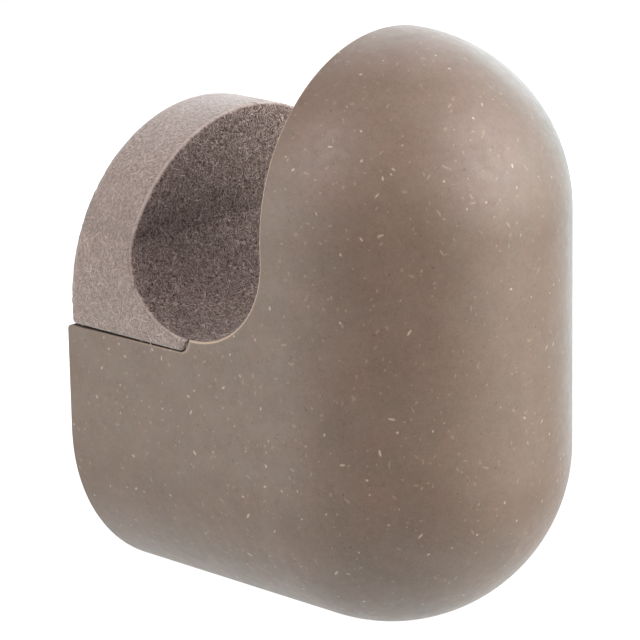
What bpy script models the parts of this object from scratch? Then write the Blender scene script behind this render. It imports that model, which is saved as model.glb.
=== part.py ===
"""Wall hook: a rough moulded wall base and a smooth hook shell that slides over its tongue.

Metres, +Z up. The wall is the plane y = 0 and the hook reaches out along -Y.
The origin is on the wall face, at the centre of the base's round top.
"""

import math

import bmesh
import bpy

# Outer form
HALF_WIDTH = 0.0200
UPRIGHT_RISE = 0.0118
BODY_DROP = 0.0148
NOSE_OFFSET = 0.0004

# Notch that the coat hangs in
PLATE_THICKNESS = 0.0091
NOTCH_WIDTH = 0.0210
NOTCH_FLOOR_DROP = 0.0007

# Form of the base that shows
BASE_OVERHANG = 0.0002
BASE_REAR_ROUNDING = 0.0019
BASE_CORNER_RADIUS = 0.0008

# Seam between base and shell
LIP_REACH = 0.01925
LIP_THICKNESS = 0.00155
LIP_TIP_FLAT = 0.0002
SEAM_GAP_AT_WALL = 0.0003
SEAM_GAP_AT_TIP = 0.00012
SHELL_REAR_GAP = 0.0001
SHELL_CORNER_RADIUS = 0.0005

# Lining of the round floor in front of the lip, which thins out towards the shell's rims
LINING_THICKNESS = 0.0012
LINING_EDGE = 0.0001
SHELL_RIM_WIDTH = 0.0003

# Inside of the shell, and the tongue that it slides over
SHELL_WALL = 0.0032
SLIDE_GAP = 0.0003
LEDGE_THICKNESS = 0.0032
SPIGOT_THICKNESS = 0.0032
SPIGOT_LENGTH = 0.0080
SPIGOT_HALF_WIDTH = 0.0120
GUSSET_THICKNESS = 0.0032
GUSSET_HEIGHT = 0.0130

# Wall screws
SCREW_RADIUS = 0.0020
SCREW_HEAD_RADIUS = 0.0039
SCREW_HEAD_RIM = 0.0004
SCREW_REACH = 0.0150
SCREW_TIP_LENGTH = 0.0040
SCREW_CLEARANCE = 0.00025
SCREW_MARGIN = 0.0008
CROSS_LENGTH = 0.0042
CROSS_WIDTH = 0.0009
CROSS_DEPTH = 0.0016

# Lock screw under the shell, in its threaded insert
LOCK_RADIUS = 0.00195
LOCK_LENGTH = 0.0046
LOCK_CLEARANCE = 0.0001
LOCK_SOCKET_WIDTH = 0.0020
LOCK_SOCKET_DEPTH = 0.0022
LOCK_CUP_RADIUS = 0.0009
LOCK_CHAMFER = 0.0004
INSERT_WALL = 0.00075
INSERT_CLEARANCE = 0.0001
INSERT_RECESS = 0.0003
BOSS_WALL = 0.0011
BOSS_HEIGHT = 0.0020
BOSS_MARGIN = 0.0004

# Steps of the round forms, and how far a helper reaches past what it cuts
ARC_STEPS = 28
DOME_STEPS = 12
NOTCH_STEPS = 18
CORNER_STEPS = 5
ROUND_STEPS = 24
OVERCUT = 0.0020

# Places that follow: depths count from the wall, heights from the origin
notch_radius = NOTCH_WIDTH / 2
notch_floor = -NOTCH_FLOOR_DROP
notch_middle = PLATE_THICKNESS + notch_radius
notch_front = PLATE_THICKNESS + NOTCH_WIDTH
notch_centre = (notch_middle, notch_floor + notch_radius)
nose_axis = notch_front + NOSE_OFFSET
body_centre = -BODY_DROP
seam_height = notch_floor - LIP_THICKNESS
lip_tip_radius = LIP_THICKNESS - LIP_TIP_FLAT
base_half_width = HALF_WIDTH + BASE_OVERHANG
lip_tip_centre = (LIP_REACH - lip_tip_radius, seam_height + lip_tip_radius)
lining_half_width = HALF_WIDTH - SHELL_RIM_WIDTH - SEAM_GAP_AT_TIP

cavity_radius = HALF_WIDTH - SHELL_WALL
core_radius = cavity_radius - SLIDE_GAP
spigot_top = notch_floor - LEDGE_THICKNESS
spigot_bottom = spigot_top - SPIGOT_THICKNESS
spigot_tip = LIP_REACH + SPIGOT_LENGTH
cavity_top = spigot_bottom - SLIDE_GAP
cavity_bottom = body_centre - cavity_radius
boss_top = cavity_bottom + BOSS_HEIGHT
core_bottom = boss_top + SLIDE_GAP

upper_screw_height = spigot_bottom - SCREW_HEAD_RADIUS - SCREW_MARGIN
lower_screw_height = core_bottom + SCREW_HEAD_RADIUS + SCREW_MARGIN
hole_radius = SCREW_RADIUS + SCREW_CLEARANCE
sink_radius = SCREW_HEAD_RADIUS + SCREW_CLEARANCE

bore_radius = LOCK_RADIUS + LOCK_CLEARANCE
insert_radius = bore_radius + INSERT_WALL
seat_radius = insert_radius + INSERT_CLEARANCE
boss_radius = seat_radius + BOSS_WALL
lock_depth = SHELL_REAR_GAP + BOSS_MARGIN + boss_radius
lock_top = core_bottom - SLIDE_GAP
insert_top = boss_top - INSERT_RECESS
insert_bottom = body_centre - HALF_WIDTH + INSERT_RECESS


def clear_scene():
    for item in list(bpy.data.objects):
        bpy.data.objects.remove(item, do_unlink=True)


def make_material(name, colour, roughness, metallic=0.0):
    material = bpy.data.materials.new(name)
    material.use_nodes = True
    surface = material.node_tree.nodes["Principled BSDF"]
    surface.inputs["Base Color"].default_value = (*colour, 1.0)
    surface.inputs["Roughness"].default_value = roughness
    surface.inputs["Metallic"].default_value = metallic
    return material


def make_object(name, shape, material=None):
    """Turn a bmesh into an object with smooth round faces and sharp corners."""
    bmesh.ops.recalc_face_normals(shape, faces=shape.faces)
    mesh = bpy.data.meshes.new(name)
    shape.to_mesh(mesh)
    shape.free()
    mesh.shade_smooth()
    mesh.set_sharp_from_angle(angle=math.radians(30))
    item = bpy.data.objects.new(name, mesh)
    bpy.context.collection.objects.link(item)
    if material:
        mesh.materials.append(material)
    return item


def combine(target, operation, name, shape):
    """Add a helper from a bmesh and join it to, or take it from, the target."""
    helper = make_object(name, shape)
    helper.hide_render = True
    helper.display_type = "WIRE"
    modifier = target.modifiers.new(name, "BOOLEAN")
    modifier.operation = operation
    modifier.object = helper
    modifier.solver = "EXACT"
    return helper


def arc(centre, radius, start, end, steps):
    """Points of an arc round centre, with the angles in degrees."""
    points = []
    for step in range(steps + 1):
        angle = math.radians(start + (end - start) * step / steps)
        points.append((centre[0] + radius * math.cos(angle), centre[1] + radius * math.sin(angle)))
    return points


def loft(rings, front_cap=True):
    """Shape through rings of as many points each, closed by flat ends."""
    shape = bmesh.new()
    rows = [[shape.verts.new(point) for point in ring] for ring in rings]
    count = len(rows[0])
    for near, far in zip(rows, rows[1:]):
        for index in range(count):
            after = (index + 1) % count
            shape.faces.new((near[index], near[after], far[after], far[index]))
    shape.faces.new(rows[0])
    if front_cap:
        shape.faces.new(rows[-1])
    return shape


def side_prism(outline, half_width):
    """Prism across the hook from a side outline of (depth, height) points."""
    return side_slab(outline, -half_width, half_width)


def side_slab(outline, left, right):
    return loft([[(x, -depth, height) for depth, height in outline] for x in (left, right)])


def at_depth(outline, depth):
    """Front outline of (x, height) points, placed at a distance from the wall."""
    return [(x, -depth, height) for x, height in outline]


def turned(profile):
    """Solid of revolution round Z from (radius, height) points that start and end on the axis."""
    shape = bmesh.new()
    rows = []
    for radius, height in profile:
        if radius == 0:
            rows.append([shape.verts.new((0.0, 0.0, height))] * ROUND_STEPS)
        else:
            ring = arc((0.0, 0.0), radius, 0, 360, ROUND_STEPS)[:-1]
            rows.append([shape.verts.new((x, y, height)) for x, y in ring])
    for lower, upper in zip(rows, rows[1:]):
        for index in range(ROUND_STEPS):
            after = (index + 1) % ROUND_STEPS
            corners = (lower[index], lower[after], upper[after], upper[index])
            shape.faces.new(list(dict.fromkeys(corners)))
    return shape


def cylinder(radius, bottom, top):
    return turned([(0.0, bottom), (radius, bottom), (radius, top), (0.0, top)])


def stadium(radius):
    """Front outline of the hook, round at both ends."""
    top = arc((0.0, UPRIGHT_RISE), radius, 0, 180, ARC_STEPS)
    return top + arc((0.0, body_centre), radius, 180, 360, ARC_STEPS)


def tub(radius, top):
    """Front outline with a flat top and a round bottom."""
    return [(radius, top), (-radius, top)] + arc((0.0, body_centre), radius, 180, 360, ARC_STEPS)


def nose_stations(radius, last_step):
    """Depth and radius of the rings that round the nose off."""
    stations = []
    for step in range(last_step + 1):
        angle = math.radians(90 * step / DOME_STEPS)
        stations.append((nose_axis + radius * math.sin(angle), radius * math.cos(angle)))
    return stations


def outer_form():
    """Block with round ends, whose nose is half of an upright capsule."""
    stations = [(SHELL_REAR_GAP, HALF_WIDTH)] + nose_stations(HALF_WIDTH, DOME_STEPS - 1)
    shape = loft([at_depth(stadium(radius), depth) for depth, radius in stations], front_cap=False)
    rim = [edge for edge in shape.edges if edge.is_boundary]
    top = shape.verts.new((0.0, -nose_axis - HALF_WIDTH, UPRIGHT_RISE))
    bottom = shape.verts.new((0.0, -nose_axis - HALF_WIDTH, body_centre))
    middle = (UPRIGHT_RISE + body_centre) / 2
    for edge in rim:
        lower, upper = sorted(edge.verts, key=lambda corner: corner.co.z)
        if lower.co.z > middle:
            shape.faces.new((lower, upper, top))
        elif upper.co.z < middle:
            shape.faces.new((lower, upper, bottom))
        else:
            shape.faces.new((lower, upper, top, bottom))
    return shape


def make_wall_base(material):
    """Back plate, lip and floor lining that show, with the plate and tongue that the shell hides."""
    corner = (BASE_CORNER_RADIUS, seam_height + BASE_CORNER_RADIUS)
    outline = arc(corner, BASE_CORNER_RADIUS, 180, 270, CORNER_STEPS)
    outline += arc(lip_tip_centre, lip_tip_radius, 270, 360, CORNER_STEPS)
    outline += arc(notch_centre, notch_radius, notch_angle(LIP_REACH), 180, NOTCH_STEPS)
    above = base_half_width + OVERCUT
    outline += [(PLATE_THICKNESS, above), (0.0, above)]
    base = make_object("wall_base", side_prism(outline, above), material)
    combine(base, "INTERSECT", "base_form", base_form())
    combine(base, "UNION", "lining", lining_form(0.0, 0.0))

    core_top = notch_floor - LIP_THICKNESS / 2
    outline = [(0.0, core_top), (LIP_REACH, core_top), (LIP_REACH, spigot_bottom)]
    outline += [(PLATE_THICKNESS, spigot_bottom), (PLATE_THICKNESS, core_bottom), (0.0, core_bottom)]
    core = combine(base, "UNION", "core", side_prism(outline, HALF_WIDTH))
    add_gussets(core)
    core_form = loft([at_depth(tub(core_radius, 0.0), depth) for depth in (-OVERCUT, spigot_tip)])
    combine(core, "INTERSECT", "core_form", core_form)

    root = LIP_REACH - OVERCUT
    outline = [(root, spigot_bottom), (spigot_tip, spigot_bottom)]
    outline += [(spigot_tip, spigot_top), (root, spigot_top)]
    combine(base, "UNION", "spigot", side_prism(outline, SPIGOT_HALF_WIDTH))

    for name, height in (("upper_hole", upper_screw_height), ("lower_hole", lower_screw_height)):
        hole = combine(base, "DIFFERENCE", name, screw_hole())
        place_screw(hole, height)
    return base


def base_form():
    """Round-topped form whose rim at the wall is rounded."""
    inner = base_half_width - BASE_REAR_ROUNDING
    stations = [(-OVERCUT, inner)]
    for depth, extra in arc((BASE_REAR_ROUNDING, 0.0), BASE_REAR_ROUNDING, 180, 90, CORNER_STEPS):
        stations.append((depth, inner + extra))
    stations.append((LIP_REACH + OVERCUT, base_half_width))
    rings = []
    for depth, radius in stations:
        outline = arc((0.0, 0.0), radius, 0, 180, ARC_STEPS)
        outline += [(-radius, seam_height - OVERCUT), (radius, seam_height - OVERCUT)]
        rings.append(at_depth(outline, depth))
    return loft(rings)


def notch_angle(depth):
    """Angle at which the notch's round floor passes a depth near its lowest point."""
    return 270 + math.degrees(math.asin((depth - notch_middle) / notch_radius))


def lining_form(raised, gap):
    """Band along the round floor in front of the lip.

    It reaches up past the floor by raised, and it is grown by gap below, aside and at its end.
    """
    end = 360 + math.degrees(gap / notch_radius)
    root = notch_angle(LIP_REACH - OVERCUT / 2)
    wide = lining_half_width + gap
    narrow = wide - LINING_THICKNESS
    stations = [(-wide, LINING_EDGE), (-narrow, LINING_THICKNESS)]
    stations += [(narrow, LINING_THICKNESS), (wide, LINING_EDGE)]
    rings = []
    for x, thickness in stations:
        outline = arc(notch_centre, notch_radius - raised, notch_angle(LIP_REACH), end, NOTCH_STEPS)
        outline += arc(notch_centre, notch_radius + thickness + gap, end, root, NOTCH_STEPS)
        rings.append([(x, -depth, height) for depth, height in outline])
    shape = loft(rings)
    bmesh.ops.triangulate(shape, faces=shape.faces)
    return shape


def add_gussets(core):
    """Two ribs in the corner between the hidden plate and the tongue."""
    sunk = OVERCUT / 2
    foot = spigot_bottom - GUSSET_HEIGHT
    outline = [(PLATE_THICKNESS - sunk, foot), (PLATE_THICKNESS, foot)]
    outline += [(LIP_REACH, spigot_bottom), (LIP_REACH, spigot_bottom + sunk)]
    outline += [(PLATE_THICKNESS - sunk, spigot_bottom + sunk)]
    inner = core_radius - GUSSET_THICKNESS
    combine(core, "UNION", "left_gusset", side_slab(outline, -HALF_WIDTH, -inner))
    combine(core, "UNION", "right_gusset", side_slab(outline, inner, HALF_WIDTH))


def place_screw(item, height):
    """Turn a piece made along +Z so that it points out of the wall."""
    item.rotation_euler = (math.radians(90), 0.0, 0.0)
    item.location = (0.0, 0.0, height)


def screw_hole():
    """Countersunk hole along +Z, from behind the plate to past its front."""
    mouth = PLATE_THICKNESS - SCREW_HEAD_RIM
    cone = mouth - (sink_radius - hole_radius)
    profile = [(0.0, -OVERCUT), (hole_radius, -OVERCUT), (hole_radius, cone), (sink_radius, mouth)]
    profile += [(sink_radius, PLATE_THICKNESS + OVERCUT), (0.0, PLATE_THICKNESS + OVERCUT)]
    return turned(profile)


def make_wall_screw(name, height, material, base):
    """Countersunk screw, its head flush in the base and its point in the wall."""
    head_top = PLATE_THICKNESS - SCREW_CLEARANCE
    head_edge = head_top - SCREW_HEAD_RIM
    profile = [(0.0, -SCREW_REACH), (SCREW_RADIUS, -SCREW_REACH + SCREW_TIP_LENGTH)]
    profile += [(SCREW_RADIUS, head_edge - (SCREW_HEAD_RADIUS - SCREW_RADIUS))]
    profile += [(SCREW_HEAD_RADIUS, head_edge), (SCREW_HEAD_RADIUS, head_top), (0.0, head_top)]
    screw = make_object(name, turned(profile), material)
    place_screw(screw, height)
    screw.parent = base
    half_length = CROSS_LENGTH / 2
    half_width = CROSS_WIDTH / 2
    for turn in (0, 90):
        outline = [(half_length, half_width), (-half_length, half_width)]
        outline += [(-half_length, -half_width), (half_length, -half_width)]
        levels = (head_top - CROSS_DEPTH, head_top + OVERCUT)
        slot_form = loft([[(x, y, level) for x, y in outline] for level in levels])
        slot = combine(screw, "DIFFERENCE", name + "_slot_" + str(turn), slot_form)
        slot.rotation_euler = (0.0, 0.0, math.radians(turn))
        slot.parent = screw


def make_hook_shell(material, base):
    """Smooth shell: the arm below the notch and the upright in front of it."""
    shell = make_object("hook_shell", outer_form(), material)
    shell.parent = base
    combine(shell, "DIFFERENCE", "notch_cut", side_prism(notch_outline(), HALF_WIDTH + OVERCUT))
    combine(shell, "DIFFERENCE", "lining_recess", lining_form(OVERCUT, SEAM_GAP_AT_TIP))

    rings = [at_depth(tub(cavity_radius, cavity_top), -OVERCUT)]
    for depth, radius in nose_stations(cavity_radius, DOME_STEPS - 2):
        rings.append(at_depth(tub(radius, cavity_top), depth))
    combine(shell, "DIFFERENCE", "cavity", loft(rings))

    room_end = LIP_REACH + SEAM_GAP_AT_TIP
    outline = [(-OVERCUT, cavity_top - OVERCUT), (room_end, cavity_top - OVERCUT)]
    outline += [(room_end, notch_floor + OVERCUT), (-OVERCUT, notch_floor + OVERCUT)]
    combine(shell, "DIFFERENCE", "tongue_room", side_prism(outline, cavity_radius))

    root = LIP_REACH - OVERCUT
    socket_end = spigot_tip + SLIDE_GAP
    outline = [(root, cavity_top - OVERCUT), (socket_end, cavity_top - OVERCUT)]
    outline += [(socket_end, spigot_top + SLIDE_GAP), (root, spigot_top + SLIDE_GAP)]
    combine(shell, "DIFFERENCE", "spigot_socket", side_prism(outline, SPIGOT_HALF_WIDTH + SLIDE_GAP))

    boss = cylinder(boss_radius, cavity_bottom - SHELL_WALL / 2, boss_top)
    seat = cylinder(seat_radius, body_centre - HALF_WIDTH - OVERCUT, boss_top + OVERCUT)
    for operation, name, form in (("UNION", "boss", boss), ("DIFFERENCE", "insert_seat", seat)):
        helper = combine(shell, operation, name, form)
        helper.location = (0.0, -lock_depth, 0.0)
    return shell


def notch_outline():
    """Side outline of all that is open above the seam and between plate and upright."""
    above = UPRIGHT_RISE + HALF_WIDTH + OVERCUT
    corner_height = seam_height - SEAM_GAP_AT_WALL - SHELL_CORNER_RADIUS
    corner = (SHELL_REAR_GAP + SHELL_CORNER_RADIUS, corner_height)
    outline = [(-OVERCUT, above), (-OVERCUT, corner_height)]
    outline += arc(corner, SHELL_CORNER_RADIUS, 180, 90, CORNER_STEPS)
    outline += arc(lip_tip_centre, lip_tip_radius + SEAM_GAP_AT_TIP, 270, 360, CORNER_STEPS)
    start = notch_angle(LIP_REACH + SEAM_GAP_AT_TIP)
    outline += arc(notch_centre, notch_radius, start, 360, NOTCH_STEPS)
    outline += [(notch_front, above)]
    return outline


def make_lock_insert(material, shell):
    """Threaded bush in the shell's boss."""
    profile = [(0.0, insert_bottom), (insert_radius, insert_bottom)]
    profile += [(insert_radius, insert_top), (0.0, insert_top)]
    insert = make_object("lock_insert", turned(profile), material)
    insert.location = (0.0, -lock_depth, 0.0)
    insert.parent = shell
    bore = cylinder(bore_radius, insert_bottom - OVERCUT, insert_top + OVERCUT)
    helper = combine(insert, "DIFFERENCE", "insert_bore", bore)
    helper.parent = insert


def make_lock_screw(material, shell):
    """Headless screw with a hexagon socket below and a cup point against the base."""
    bottom = lock_top - LOCK_LENGTH
    shoulder = LOCK_RADIUS - LOCK_CHAMFER
    profile = [(0.0, bottom), (shoulder, bottom), (LOCK_RADIUS, bottom + LOCK_CHAMFER)]
    profile += [(LOCK_RADIUS, lock_top - LOCK_CHAMFER), (shoulder, lock_top)]
    profile += [(LOCK_CUP_RADIUS, lock_top), (0.0, lock_top - LOCK_CHAMFER)]
    screw = make_object("lock_screw", turned(profile), material)
    screw.location = (0.0, -lock_depth, 0.0)
    screw.parent = shell
    corner_radius = LOCK_SOCKET_WIDTH / math.sqrt(3)
    hexagon = arc((0.0, 0.0), corner_radius, 0, 360, 6)[:-1]
    levels = (bottom - OVERCUT, bottom + LOCK_SOCKET_DEPTH)
    socket = loft([[(x, y, level) for x, y in hexagon] for level in levels])
    helper = combine(screw, "DIFFERENCE", "hexagon_socket", socket)
    helper.parent = screw


def main():
    clear_scene()
    fibre = make_material("rough fibre composite", (0.30, 0.25, 0.22), 0.95)
    composite = make_material("smooth fibre composite", (0.29, 0.22, 0.18), 0.55)
    zinc = make_material("zinc plated steel", (0.62, 0.63, 0.64), 0.35, 1.0)
    black_steel = make_material("black oxide steel", (0.05, 0.05, 0.055), 0.45, 1.0)
    brass = make_material("brass", (0.76, 0.60, 0.30), 0.35, 1.0)

    base = make_wall_base(fibre)
    make_wall_screw("wall_screw_upper", upper_screw_height, zinc, base)
    make_wall_screw("wall_screw_lower", lower_screw_height, zinc, base)
    shell = make_hook_shell(composite, base)
    make_lock_insert(brass, shell)
    make_lock_screw(black_steel, shell)


main()
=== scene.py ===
import math

import bmesh
import bpy
from mathutils import Matrix, Vector


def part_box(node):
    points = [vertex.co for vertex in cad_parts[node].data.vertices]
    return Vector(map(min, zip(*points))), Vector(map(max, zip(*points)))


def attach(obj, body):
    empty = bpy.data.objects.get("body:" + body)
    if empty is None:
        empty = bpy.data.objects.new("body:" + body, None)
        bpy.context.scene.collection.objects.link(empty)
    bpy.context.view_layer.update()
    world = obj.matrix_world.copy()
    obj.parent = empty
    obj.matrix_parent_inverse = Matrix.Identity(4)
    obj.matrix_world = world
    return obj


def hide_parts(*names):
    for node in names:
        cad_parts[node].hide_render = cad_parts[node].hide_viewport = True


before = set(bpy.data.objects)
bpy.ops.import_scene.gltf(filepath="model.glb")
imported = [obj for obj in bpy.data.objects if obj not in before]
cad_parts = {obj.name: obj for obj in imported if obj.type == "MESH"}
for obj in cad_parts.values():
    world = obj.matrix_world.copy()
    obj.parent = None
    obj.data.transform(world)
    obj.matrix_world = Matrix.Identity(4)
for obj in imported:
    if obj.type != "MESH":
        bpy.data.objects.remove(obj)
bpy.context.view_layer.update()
print("frame loaded")

mm = 0.001

# Sizes that the pieces share. Depths count from the wall, heights from the centre of the round top.
shellLow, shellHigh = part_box("hook_shell")
halfWidth = shellHigh.x
topCentre = shellHigh.z - halfWidth
bottomCentre = shellLow.z + halfWidth
noseAxis = -shellLow.y - halfWidth
shellRear = -shellHigh.y

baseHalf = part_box("wall_base")[1].x

notch = {"wall": 9.1 * mm, "width": 21.0 * mm, "drop": 0.7 * mm, "steps": 64}
notchRadius = notch["width"] / 2
notchFront = notch["wall"] + notch["width"]
notchMiddle = notch["wall"] + notchRadius
notchFloor = -notch["drop"]
notchCentre = (notchMiddle, notchFloor + notchRadius)

seam = {"reach": 19.25 * mm, "lip": 1.55 * mm, "tipFlat": 0.2 * mm,
        "gapAtWall": 0.3 * mm, "gapAtTip": 0.12 * mm}
seamHeight = notchFloor - seam["lip"]
tipRadius = seam["lip"] - seam["tipFlat"]
tipCentre = (seam["reach"] - tipRadius, seamHeight + tipRadius)
# the lip's tip from the seam up to the notch's floor, in mm from the tip's reach and the floor
tipCorners = ((-1.50, -1.55), (-1.10, -1.49), (-0.75, -1.30), (-0.60, -1.05), (-0.45, -0.72), (-0.30, -0.50),
              (-0.15, -0.25), (-0.05, -0.06))

lining = {"thickness": 1.2 * mm, "edge": 0.1 * mm, "rim": 0.3 * mm}
liningHalf = halfWidth - lining["rim"] - seam["gapAtTip"]

inside = {"wall": 3.2 * mm, "slide": 0.3 * mm, "ledge": 3.2 * mm, "spigot": 3.2 * mm, "reach": 8.0 * mm,
          "spigotHalf": 12.0 * mm, "gusset": 3.2 * mm, "gussetHeight": 13.0 * mm, "bossHeight": 2.0 * mm}
cavityRadius = halfWidth - inside["wall"]
coreRadius = cavityRadius - inside["slide"]
spigotTop = notchFloor - inside["ledge"]
spigotBottom = spigotTop - inside["spigot"]
spigotTip = seam["reach"] + inside["reach"]
cavityTop = spigotBottom - inside["slide"]
bossTop = bottomCentre - cavityRadius + inside["bossHeight"]
coreBottom = bossTop + inside["slide"]
past = 2.0 * mm      # how far a helper reaches past what it cuts


# Mesh helpers

def arcPoints(centre, radius, start, end, steps):
    points = []
    for step in range(steps + 1):
        angle = math.radians(start + (end - start) * step / steps)
        points.append((centre[0] + radius * math.cos(angle), centre[1] + radius * math.sin(angle)))
    return points


def rectangle(near, low, far, high):
    return [(near, low), (far, low), (far, high), (near, high)]


def notchAngle(depth):
    # where the notch's round floor passes a depth near its lowest point
    return 270 + math.degrees(math.asin((depth - notchMiddle) / notchRadius))


def tipLine(gap):
    # the lip's tip, moved outwards by a gap that closes towards the notch's floor
    points = [Vector((seam["reach"] + across * mm, notchFloor + up * mm)) for across, up in tipCorners]
    moved = []
    for index, point in enumerate(points):
        along = points[min(index + 1, len(points) - 1)] - points[max(index - 1, 0)]
        side = Vector((along.y, -along.x)).normalized() * gap * (1.0 - 0.6 * index / (len(points) - 1))
        moved.append((point.x + side.x, point.y + side.y))
    return moved


def atDepth(outline, depth):
    return [(x, -depth, height) for x, height in outline]


def atHeight(outline, height):
    return [(x, y, height) for x, y in outline]


def loftForm(rings, closeFront=True):
    shape = bmesh.new()
    rows = [[shape.verts.new(point) for point in ring] for ring in rings]
    count = len(rows[0])
    for near, far in zip(rows, rows[1:]):
        for index in range(count):
            after = (index + 1) % count
            shape.faces.new((near[index], near[after], far[after], far[index]))
    shape.faces.new(rows[0])
    if closeFront:
        shape.faces.new(rows[-1])
    return shape


def acrossForm(outline, right, left=None):
    # from left to right, or from -right where no left is given
    stations = (-right if left is None else left, right)
    return loftForm([[(x, -depth, height) for depth, height in outline] for x in stations])


def liningForm(raised, gap):
    # the band along the round floor in front of the lip
    # raised reaches into the notch, gap grows the other sides
    end = 360 + math.degrees(gap / notchRadius)
    root = notchAngle(seam["reach"] - past / 2)
    wide = liningHalf + gap
    narrow = wide - lining["thickness"]
    stations = [(-wide, lining["edge"]), (-narrow, lining["thickness"])]
    stations += [(narrow, lining["thickness"]), (wide, lining["edge"])]
    rings = []
    for x, thickness in stations:
        outline = arcPoints(notchCentre, notchRadius - raised, notchAngle(seam["reach"]), end, notch["steps"])
        outline += arcPoints(notchCentre, notchRadius + thickness + gap, end, root, notch["steps"])
        rings.append([(x, -depth, height) for depth, height in outline])
    shape = loftForm(rings)
    bmesh.ops.triangulate(shape, faces=shape.faces)
    return shape


def turnedForm(profile, steps):
    # solid round Z from (radius, height) points that start and end on the axis
    shape = bmesh.new()
    rows = []
    for radius, height in profile:
        if radius == 0:
            rows.append([shape.verts.new((0.0, 0.0, height))] * steps)
        else:
            ring = arcPoints((0.0, 0.0), radius, 0, 360, steps)[:-1]
            rows.append([shape.verts.new(point) for point in atHeight(ring, height)])
    for lower, upper in zip(rows, rows[1:]):
        for index in range(steps):
            after = (index + 1) % steps
            corners = (lower[index], lower[after], upper[after], upper[index])
            shape.faces.new(list(dict.fromkeys(corners)))
    return shape


def putInScene(name, data):
    item = bpy.data.objects.new(name, data)
    bpy.context.scene.collection.objects.link(item)
    return item


def addPiece(name, shape, place=None):
    bmesh.ops.recalc_face_normals(shape, faces=shape.faces)
    if place:
        bmesh.ops.transform(shape, matrix=place, verts=shape.verts)
    mesh = bpy.data.meshes.new(name)
    shape.to_mesh(mesh)
    shape.free()
    return putInScene(name, mesh)


def settle(piece):
    # the evaluated shape becomes the piece's plain mesh
    graph = bpy.context.evaluated_depsgraph_get()
    mesh = bpy.data.meshes.new_from_object(piece.evaluated_get(graph), depsgraph=graph)
    piece.modifiers.clear()
    piece.data = mesh


def applyModifier(piece, kind, **settings):
    modifier = piece.modifiers.new(kind.lower(), kind)
    for key, value in settings.items():
        setattr(modifier, key, value)
    settle(piece)


def carve(piece, steps):
    # steps are (operation, shape), or with a place as third, worked one after another
    helpers = []
    for operation, shape, *place in steps:
        helper = shape if isinstance(shape, bpy.types.Object) else addPiece("helper", shape, *place)
        modifier = piece.modifiers.new("step", "BOOLEAN")
        modifier.operation = operation
        modifier.object = helper
        modifier.solver = "EXACT"
        helpers.append(helper)
    settle(piece)
    for helper in helpers:
        bpy.data.objects.remove(helper)


def roundRims(piece, width, segments, weightOf, limit=35):
    # a Bevel whose width at each edge is its weight times width
    shape = bmesh.new()
    shape.from_mesh(piece.data)
    bmesh.ops.remove_doubles(shape, verts=shape.verts, dist=0.002 * mm)
    bmesh.ops.dissolve_limit(shape, angle_limit=math.radians(0.05), verts=shape.verts, edges=shape.edges)
    layer = shape.edges.layers.float.new("bevel_weight_edge")
    for edge in shape.edges:
        if len(edge.link_faces) == 2 and edge.calc_face_angle(0.0) > math.radians(limit):
            edge[layer] = weightOf(edge)
    shape.to_mesh(piece.data)
    shape.free()
    applyModifier(piece, "BEVEL", limit_method="WEIGHT", width=width, segments=segments,
                  use_clamp_overlap=False)


def shadeSmooth(piece, angle=40):
    piece.data.shade_smooth()
    piece.data.set_sharp_from_angle(angle=math.radians(angle))
    applyModifier(piece, "WEIGHTED_NORMAL", keep_sharp=True, weight=80)


# Node helpers

def addNode(tree, kind, values=None, **settings):
    item = tree.nodes.new(kind)
    for key, value in settings.items():
        setattr(item, key, value)
    for key, value in (values or {}).items():
        if isinstance(value, bpy.types.NodeSocket):
            tree.links.new(value, item.inputs[key])
        else:
            item.inputs[key].default_value = value
    return item


def resultOf(tree, kind, values=None, **settings):
    return addNode(tree, kind, values, **settings).outputs[0]


def calc(tree, operation, first, second=0.0):
    return resultOf(tree, "ShaderNodeMath", {0: first, 1: second}, operation=operation)


def times(tree, first, *others):
    for other in others:
        first = calc(tree, "MULTIPLY", first, other)
    return first


def plus(tree, first, second):
    return calc(tree, "ADD", first, second)


def minus(tree, first, second):
    return calc(tree, "SUBTRACT", first, second)


def vectorCalc(tree, operation, first, second=(0.0, 0.0, 0.0)):
    item = addNode(tree, "ShaderNodeVectorMath", {0: first, 1: second}, operation=operation)
    return item.outputs["Value" if operation in ("DOT_PRODUCT", "LENGTH") else "Vector"]


def remap(tree, value, low, high, toLow=0.0, toHigh=1.0):
    values = {"Value": value, "From Min": low, "From Max": high, "To Min": toLow, "To Max": toHigh}
    return addNode(tree, "ShaderNodeMapRange", values, interpolation_type="SMOOTHSTEP").outputs["Result"]


def fade(tree, value, low, high):
    return remap(tree, value, low, high, 1.0, 0.0)


def partsOf(tree, vector):
    return addNode(tree, "ShaderNodeSeparateXYZ", {"Vector": vector}).outputs


def vectorOf(tree, x, y, z=0.0):
    return resultOf(tree, "ShaderNodeCombineXYZ", {"X": x, "Y": y, "Z": z})


def randomOf(tree, low, high, seed):
    return addNode(tree, "FunctionNodeRandomValue", {2: low, 3: high, 8: seed}).outputs[1]


def mixColour(tree, factor, first, second, blend="MIX"):
    # a colour is a socket or red, green and blue
    first, second = [(*colour, 1.0) if isinstance(colour, tuple) else colour for colour in (first, second)]
    values = {0: factor, 6: first, 7: second}
    return addNode(tree, "ShaderNodeMix", values, data_type="RGBA", blend_type=blend).outputs[2]


def noiseOf(tree, coords, size, detail=2.0, rough=0.5):
    values = {"Vector": coords, "Scale": 1 / size, "Detail": detail, "Roughness": rough}
    return resultOf(tree, "ShaderNodeTexNoise", values)


def lay(tree, colour, mask, share, added):
    # the added colour covers the first where the mask is, as far as the share says
    return mixColour(tree, times(tree, mask, share), colour, added)


def bumpOf(tree, strength, distance, height):
    values = {"Strength": strength, "Distance": distance, "Height": height}
    return resultOf(tree, "ShaderNodeBump", values)


def wire(tree, shader, values):
    for key, value in values.items():
        tree.links.new(value, shader.inputs[key])


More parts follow.
